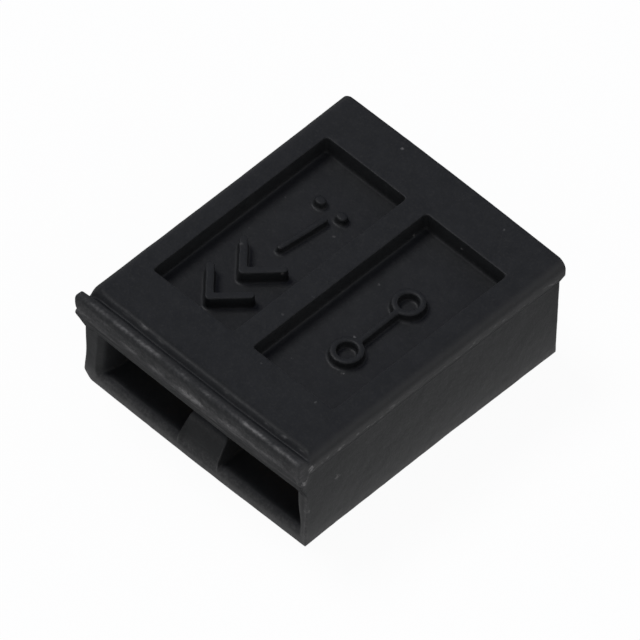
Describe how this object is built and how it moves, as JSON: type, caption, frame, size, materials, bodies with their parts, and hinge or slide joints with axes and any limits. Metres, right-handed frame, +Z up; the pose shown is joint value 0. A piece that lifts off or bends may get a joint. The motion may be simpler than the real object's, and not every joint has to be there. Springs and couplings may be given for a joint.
{
  "type": "jumper shunt",
  "caption": "Flat black jumper shunt: a moulded housing with an open mouth, a raised front lip and recessed pockets on top, and a bent spring strip inside that joins neighbouring header posts.",
  "frame": {"origin": "centre of the flat bottom face, midway between the side walls and between the mouth's face and the closed end", "axes": "+X across the two posts, +Y from the mouth to the closed end, +Z up to the face with the pockets"},
  "size_m": [0.0051, 0.0063, 0.0025],
  "materials": {
    "housing_plastic": "satin black moulding",
    "contact_bronze": "bright rolled strip"
  },
  "bodies": {
    "root": {"shunt_housing": "housing_plastic", "bridge_contact": "contact_bronze"}
  },
  "joints": []
}
